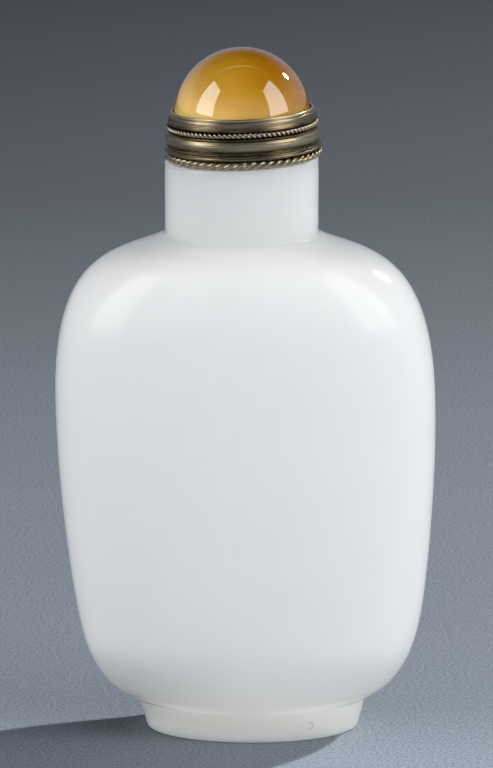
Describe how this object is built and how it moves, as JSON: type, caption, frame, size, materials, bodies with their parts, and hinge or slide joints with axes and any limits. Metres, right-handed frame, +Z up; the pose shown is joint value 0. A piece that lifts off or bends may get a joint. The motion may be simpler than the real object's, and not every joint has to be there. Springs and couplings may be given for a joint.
{
  "type": "snuff bottle",
  "caption": "Flattened pale jade snuff bottle with round neck and oval foot, closed by a brass-collared agate dome stopper.",
  "frame": {"origin": "under the middle of the bottle, on the plane that the foot rim stands on", "axes": "+Z up through the neck, +X across the broad faces, -Y out of the front broad face"},
  "size_m": [0.0384, 0.0222, 0.0698],
  "materials": {
    "jade": "polished white nephrite",
    "brass": "aged, turned",
    "agate": "high polish, honey coloured",
    "cork": "plain cut cork"
  },
  "bodies": {
    "root": {"bottle": "jade", "stopper_collar": "brass", "lower_wire": "brass", "upper_wire": "brass", "stopper_gem": "agate", "stopper_cork": "cork"}
  },
  "joints": []
}
